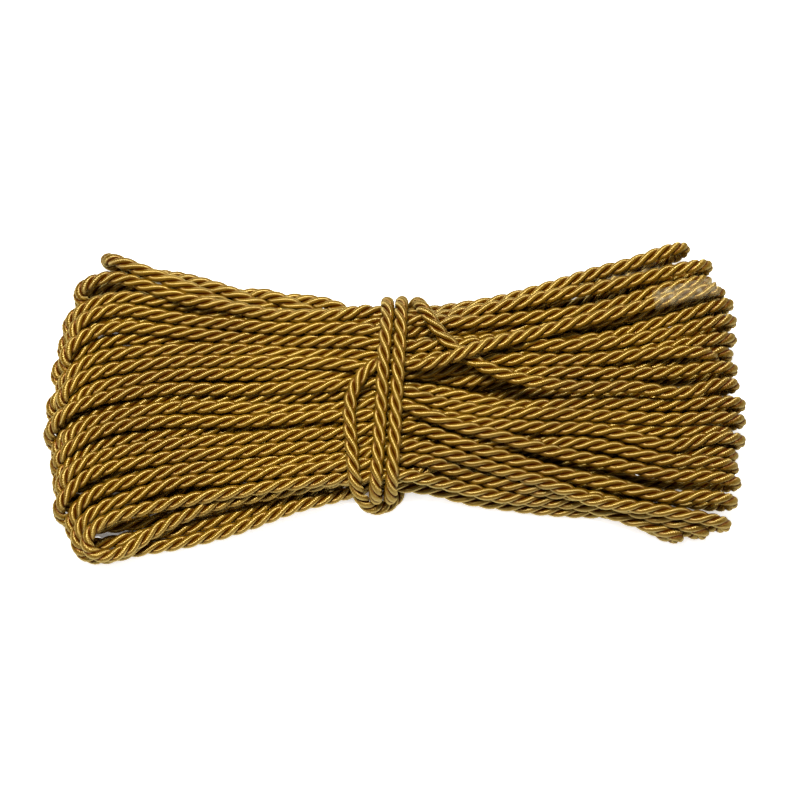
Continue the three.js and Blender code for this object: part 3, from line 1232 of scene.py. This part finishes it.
@dataclass(frozen=True)
class SatinYarn:
    """Gold satin-faced yarn: fine ribs across each ply, a tinted gloss, dull patches and a painted shade of brown
    between the plies.
    """

    name: str = "satin_cord"
    crest: Shade = (0.262, 0.124, 0.004, 1.0)
    dull: Shade = (0.195, 0.084, 0.003, 1.0)
    # Painted shade: the dark brown that stands for the shadow deep between the plies.
    groove: Shade = (0.078, 0.010, 0.0003, 1.0)
    gloss_tint: Shade = (0.92, 1.0, 0.47, 1.0)
    crest_gloss: float = 0.5
    groove_gloss: float = 0.0
    roughness: float = 0.40
    metallic: float = 0.50
    refraction: float = 2.75
    anisotropic: float = 1.0
    rib_pitch: float = 0.6
    rib_lean: float = 0.08
    rib_height: float = 0.00003
    patches_a_metre: float = 28.0
    patch_from: float = 0.46
    patch_to: float = 0.70

    def make(self) -> bpy.types.Material:
        """Builds the material.

        Returns:
            The material, whose ribs follow the yarn map and whose patches follow the piece's own coordinates.
        """
        board = NodeBoard(self.name)
        grain = board.add("Tangent", {}, direction_type="UV_MAP", uv_map="yarn")
        depth = board.add("Attribute", {}, attribute_name="groove")["Fac"]
        gloss = board.add("MapRange", {"Value": depth, "To Min": self.crest_gloss, "To Max": self.groove_gloss})
        bump = board.add("Bump", {"Height": self.ribs(board), "Strength": 1.0, "Distance": self.rib_height})
        board.put(
            board.shader,
            {
                "Base Color": self.colour(board, depth),
                "Roughness": self.roughness,
                "Metallic": self.metallic,
                "IOR": self.refraction,
                "Specular IOR Level": gloss["Result"],
                "Specular Tint": self.gloss_tint,
                "Anisotropic": self.anisotropic,
                "Tangent": grain["Tangent"],
                "Normal": bump["Normal"],
            },
        )
        return board.material

    def colour(self, board: NodeBoard, depth: bpy.types.NodeSocket) -> bpy.types.NodeSocket:
        """Mixes gold, its duller patches and the painted shade, a dark brown, between the plies.

        Args:
            board: the material's nodes.
            depth: how deep a point lies between the plies.

        Returns:
            The colour.
        """
        where = board.add("TexCoord", {})
        patches = board.add("TexNoise", {"Vector": where["Object"], "Scale": self.patches_a_metre})
        limits = {"From Min": self.patch_from, "From Max": self.patch_to}
        dulled = board.add("MapRange", {"Value": patches["Fac"], **limits})
        tone = board.add("Mix", {"Factor": dulled["Result"], "A": self.crest, "B": self.dull}, data_type="RGBA")
        # Painted shade: the deeper a point lies in a groove, the nearer its colour comes to the dark groove brown.
        mixed = board.add("Mix", {"Factor": depth, "A": tone["Result"], "B": self.groove}, data_type="RGBA")
        return mixed["Result"]

    def ribs(self, board: NodeBoard) -> bpy.types.NodeSocket:
        """Draws the yarn's fine ribs, which lean a little across each ply.

        Args:
            board: the material's nodes.

        Returns:
            The height of the ribs, from -1 to 1.
        """
        yarn = board.add("UVMap", {}, uv_map="yarn")
        split = board.add("SeparateXYZ", {"Vector": yarn["UV"]})
        lean = board.add("Math", {0: split["Y"], 1: self.rib_lean}, operation="MULTIPLY")
        place = board.add("Math", {0: split["X"], 1: lean[0]}, operation="ADD")
        turn = board.add("Math", {0: place[0], 1: 2 * math.pi / self.rib_pitch}, operation="MULTIPLY")
        return board.add("Math", {0: turn[0]}, operation="SINE")[0]


@dataclass(frozen=True)
class ClearFilm:
    """Clear tape: a thin film that veils the cord a little, with a faint crinkle."""

    name: str = "clear_tape"
    tone: Shade = (0.88, 0.74, 0.42, 1.0)
    roughness: float = 0.30
    thinnest: float = 0.03
    thickest: float = 0.13
    veil_from: float = 0.48
    veil_to: float = 0.72
    crinkle_scale: float = 380.0
    crinkle_detail: float = 3.0
    crinkle_height: float = 0.0002

    def make(self) -> bpy.types.Material:
        """Builds the material.

        Returns:
            The material, whose veil and crinkle follow the piece's own coordinates.
        """
        board = NodeBoard(self.name)
        where = board.add("TexCoord", {})
        grain = {"Scale": self.crinkle_scale, "Detail": self.crinkle_detail}
        crinkle = board.add("TexNoise", {"Vector": where["Object"], **grain})["Fac"]
        limits = {"From Min": self.veil_from, "From Max": self.veil_to}
        veil = board.add("MapRange", {"Value": crinkle, **limits, "To Min": self.thinnest, "To Max": self.thickest})
        bump = board.add("Bump", {"Height": crinkle, "Distance": self.crinkle_height})
        finish = {"Base Color": self.tone, "Roughness": self.roughness}
        board.put(board.shader, {**finish, "Alpha": veil["Result"], "Normal": bump["Normal"]})
        return board.material


@dataclass
class TapeSleeve:
    """Clear tape folded round one end of the cord, with its two long edges pressed together into a fin."""

    name: str
    stands_for: str
    length: float
    fin_way: Triple
    sides: int = 20
    gap: float = 0.25
    film: float = 0.08
    fin: float = 1.5
    past_end: float = 0.8
    widths: tuple[float, ...] = (1.0, 0.97, 1.02, 0.98, 1.03, 1.0, 1.04)

    def build(self, end_first: np.ndarray, cord: Cord, film: bpy.types.Material) -> bpy.types.Object:
        """Makes the sleeve by hand: a circle drawn into a fin and pulled out along the cord.

        Args:
            end_first: the cord's centreline from its cut end inward, in millimetres.
            cord: the cord's sizes.
            film: the tape's material.

        Returns:
            The sleeve.
        """
        line = sampled(end_first, np.linspace(0.0, self.length, len(self.widths))) * MM
        way = Vector(line[-1] - line[0]).normalized()
        past = Vector(line[0]) - way * self.past_end * MM
        radius = (cord.radius + self.gap) * MM
        bpy.ops.object.select_all(action="DESELECT")
        bpy.ops.mesh.primitive_circle_add(
            vertices=self.sides, radius=radius, location=past, rotation=way.to_track_quat("Z", "Y").to_euler()
        )
        piece = bpy.context.object
        piece.name = self.name
        bpy.ops.object.transform_apply(location=True, rotation=True, scale=True)
        fin = Vector(self.fin_way).normalized()
        reach = [(vertex.co - past).dot(fin) for vertex in piece.data.vertices]
        farthest = reach.index(max(reach))
        bpy.ops.object.mode_set(mode="EDIT")
        bpy.ops.mesh.select_all(action="DESELECT")
        bpy.ops.object.mode_set(mode="OBJECT")
        piece.data.vertices[farthest].select = True
        bpy.ops.object.mode_set(mode="EDIT")
        bpy.ops.transform.translate(value=fin * self.fin * MM)
        bpy.ops.mesh.select_all(action="SELECT")
        here = past
        for place, width, before in zip(line[1:], self.widths[1:], self.widths):
            there = Vector(place)
            bpy.ops.mesh.extrude_region_move(TRANSFORM_OT_translate={"value": there - here})
            swell = width / before
            bpy.ops.transform.resize(value=(swell, swell, swell), center_override=there)
            here = there
        bpy.ops.mesh.select_all(action="SELECT")
        bpy.ops.mesh.normals_make_consistent(inside=False)
        bpy.ops.object.mode_set(mode="OBJECT")
        bpy.ops.object.shade_smooth()
        self.thicken(piece, film)
        return piece

    def thicken(self, piece: bpy.types.Object, film: bpy.types.Material) -> None:
        """Gives the drawn film its thickness and finish, attaches it to the root and hides the solid that it stands
        for.

        Args:
            piece: the sleeve as an open tube of no thickness.
            film: the tape's material.
        """
        wall = piece.modifiers.new("film", "SOLIDIFY")
        wall.thickness = self.film * MM
        wall.offset = 1.0
        bpy.ops.object.modifier_apply(modifier=wall.name)
        piece.data.materials.append(film)
        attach(piece, "root")
        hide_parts(self.stands_for)
        LOG.info("%s: %.1f mm of clear tape, %d faces", self.name, self.length, len(piece.data.polygons))


@dataclass(frozen=True)
class Softbox:
    """One rectangular light that faces the hank: its place and size in metres, and its power in watts."""

    name: str
    place: Triple
    width: float
    depth: float
    power: float

    def hang(self) -> None:
        """Hangs the light."""
        bpy.ops.object.light_add(type="AREA", location=self.place)
        light = bpy.context.object
        light.name = self.name
        light.rotation_euler = Vector(self.place).to_track_quat("Z", "Y").to_euler()
        light.data.shape = "RECTANGLE"
        light.data.size, light.data.size_y = self.width, self.depth
        light.data.energy = self.power


@dataclass(frozen=True)
class Floor:
    """A plain white floor that glows evenly by itself, but goes dark where something lies close above it: a painted
    contact shade under and beside the hank.
    """

    size: float = 8.0
    tone: Shade = (0.9, 0.9, 0.9, 1.0)
    roughness: float = 0.9
    light: Shade = (1.0, 1.0, 1.0, 1.0)
    glow: float = 0.9
    covered_reach: float = 0.012
    covered_to: float = 0.12
    open_from: float = 0.42
    looks: int = 6

    def lay(self) -> None:
        """Lays the floor where the hank's underside is."""
        bpy.ops.mesh.primitive_plane_add(size=self.size, location=(0.0, 0.0, 0.0))
        floor = bpy.context.object
        floor.name = "floor"
        board = NodeBoard("white_floor")
        # Painted shade: the floor's glow fades where the hank lies close above it.
        cover = board.add("AmbientOcclusion", {"Distance": self.covered_reach}, samples=self.looks)
        limits = {"From Min": self.covered_to, "From Max": self.open_from, "To Max": self.glow}
        glow = board.add("MapRange", {"Value": cover["AO"], **limits})["Result"]
        finish = {"Base Color": self.tone, "Roughness": self.roughness}
        board.put(board.shader, {**finish, "Emission Color": self.light, "Emission Strength": glow})
        floor.data.materials.append(board.material)


@dataclass(frozen=True)
class Studio:
    """The camera, the lights and the pale floor."""

    elevation: float = 75.0
    distance: float = 0.674
    aim: Triple = (0.0016, 0.0013, 0.010)
    lens: float = 85.0
    sensor: float = 36.0
    key: Softbox = Softbox("key", place=(-0.10, 0.20, 0.90), width=0.40, depth=0.08, power=18.0)
    fill: Softbox = Softbox("fill", place=(0.0, -0.5, 0.9), width=0.6, depth=0.3, power=1.0)
    surroundings: Shade = (1.0, 1.0, 1.0, 1.0)
    surroundings_glow: float = 0.06
    floor: Floor = Floor()

    def build(self) -> None:
        """Sets up the whole studio."""
        self.look()
        self.key.hang()
        self.fill.hang()
        self.surround()
        self.floor.lay()

    def look(self) -> None:
        """Looks down on the hank from the near side."""
        tilt = math.radians(self.elevation)
        back = Vector((0.0, -math.cos(tilt), math.sin(tilt)))
        bpy.ops.object.camera_add(location=Vector(self.aim) + back * self.distance)
        camera = bpy.context.object
        camera.name = "camera"
        camera.rotation_euler = back.to_track_quat("Z", "Y").to_euler()
        camera.data.lens = self.lens
        camera.data.sensor_width = self.sensor
        bpy.context.scene.camera = camera

    def surround(self) -> None:
        """Fills the room with a weak even light."""
        world = bpy.data.worlds.new("surroundings")
        world.use_nodes = True
        background = world.node_tree.nodes["Background"]
        background.inputs["Color"].default_value = self.surroundings
        background.inputs["Strength"].default_value = self.surroundings_glow
        bpy.context.scene.world = world
        bpy.context.scene.view_settings.view_transform = "Standard"


@dataclass
class CordPieces:
    """Cuts the cord into pieces, attaches each one to the root and hides the solids that it stands for."""

    twisted: TwistedCord
    tie_length: float
    path_stride: int = 2

    def build(self, yarn: bpy.types.Material) -> None:
        """Makes every stretch of the cord, attaches it to the root and hides the solids that it stands for.

        Args:
            yarn: the cord's material.
        """
        hank_length = self.twisted.length - self.tie_length
        cuts = [0.0, hank_length / 3, hank_length * 2 / 3, hank_length, self.twisted.length]
        names = ("first_turns", "middle_turns", "last_turns", "waist_tie")
        for number, name in enumerate(names):
            start, end = cuts[number], cuts[number + 1]
            piece = self.twisted.piece(name, start, end)
            piece.data.materials.append(yarn)
            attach(piece, "root")
            if name == "waist_tie":
                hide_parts("running_lead", "waist_turns", "loose_end")
            else:
                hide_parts("hank")
            LOG.info("%s: %.2f m of cord, %d faces", name, (end - start) * MM, len(piece.data.polygons))


def main() -> None:
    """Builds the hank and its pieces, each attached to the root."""
    logging.basicConfig(level=logging.INFO, format="%(message)s")
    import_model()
    Studio().build()
    route = Route()
    Hank().lay(route)
    tie = WaistTie()
    tie.lay(route)
    cord = Cord()
    twisted = TwistedCord(cord, Settling(cord).settle(route))
    LOG.info("cord: %.3f m", twisted.length * MM)
    CordPieces(twisted, tie_length=tie.length).build(SatinYarn().make())
    film = ClearFilm().make()
    last = TapeSleeve("last_end_tape", stands_for="end_tape", length=23.0, fin_way=(0.0, 1.0, 0.5))
    last.build(twisted.line[::-1], cord, film)
    first = TapeSleeve("first_end_tape", stands_for="start_tape", length=19.0, fin_way=(0.0, 0.2, 1.0))
    first.build(twisted.line, cord, film)


if __name__ == "__main__":
    main()
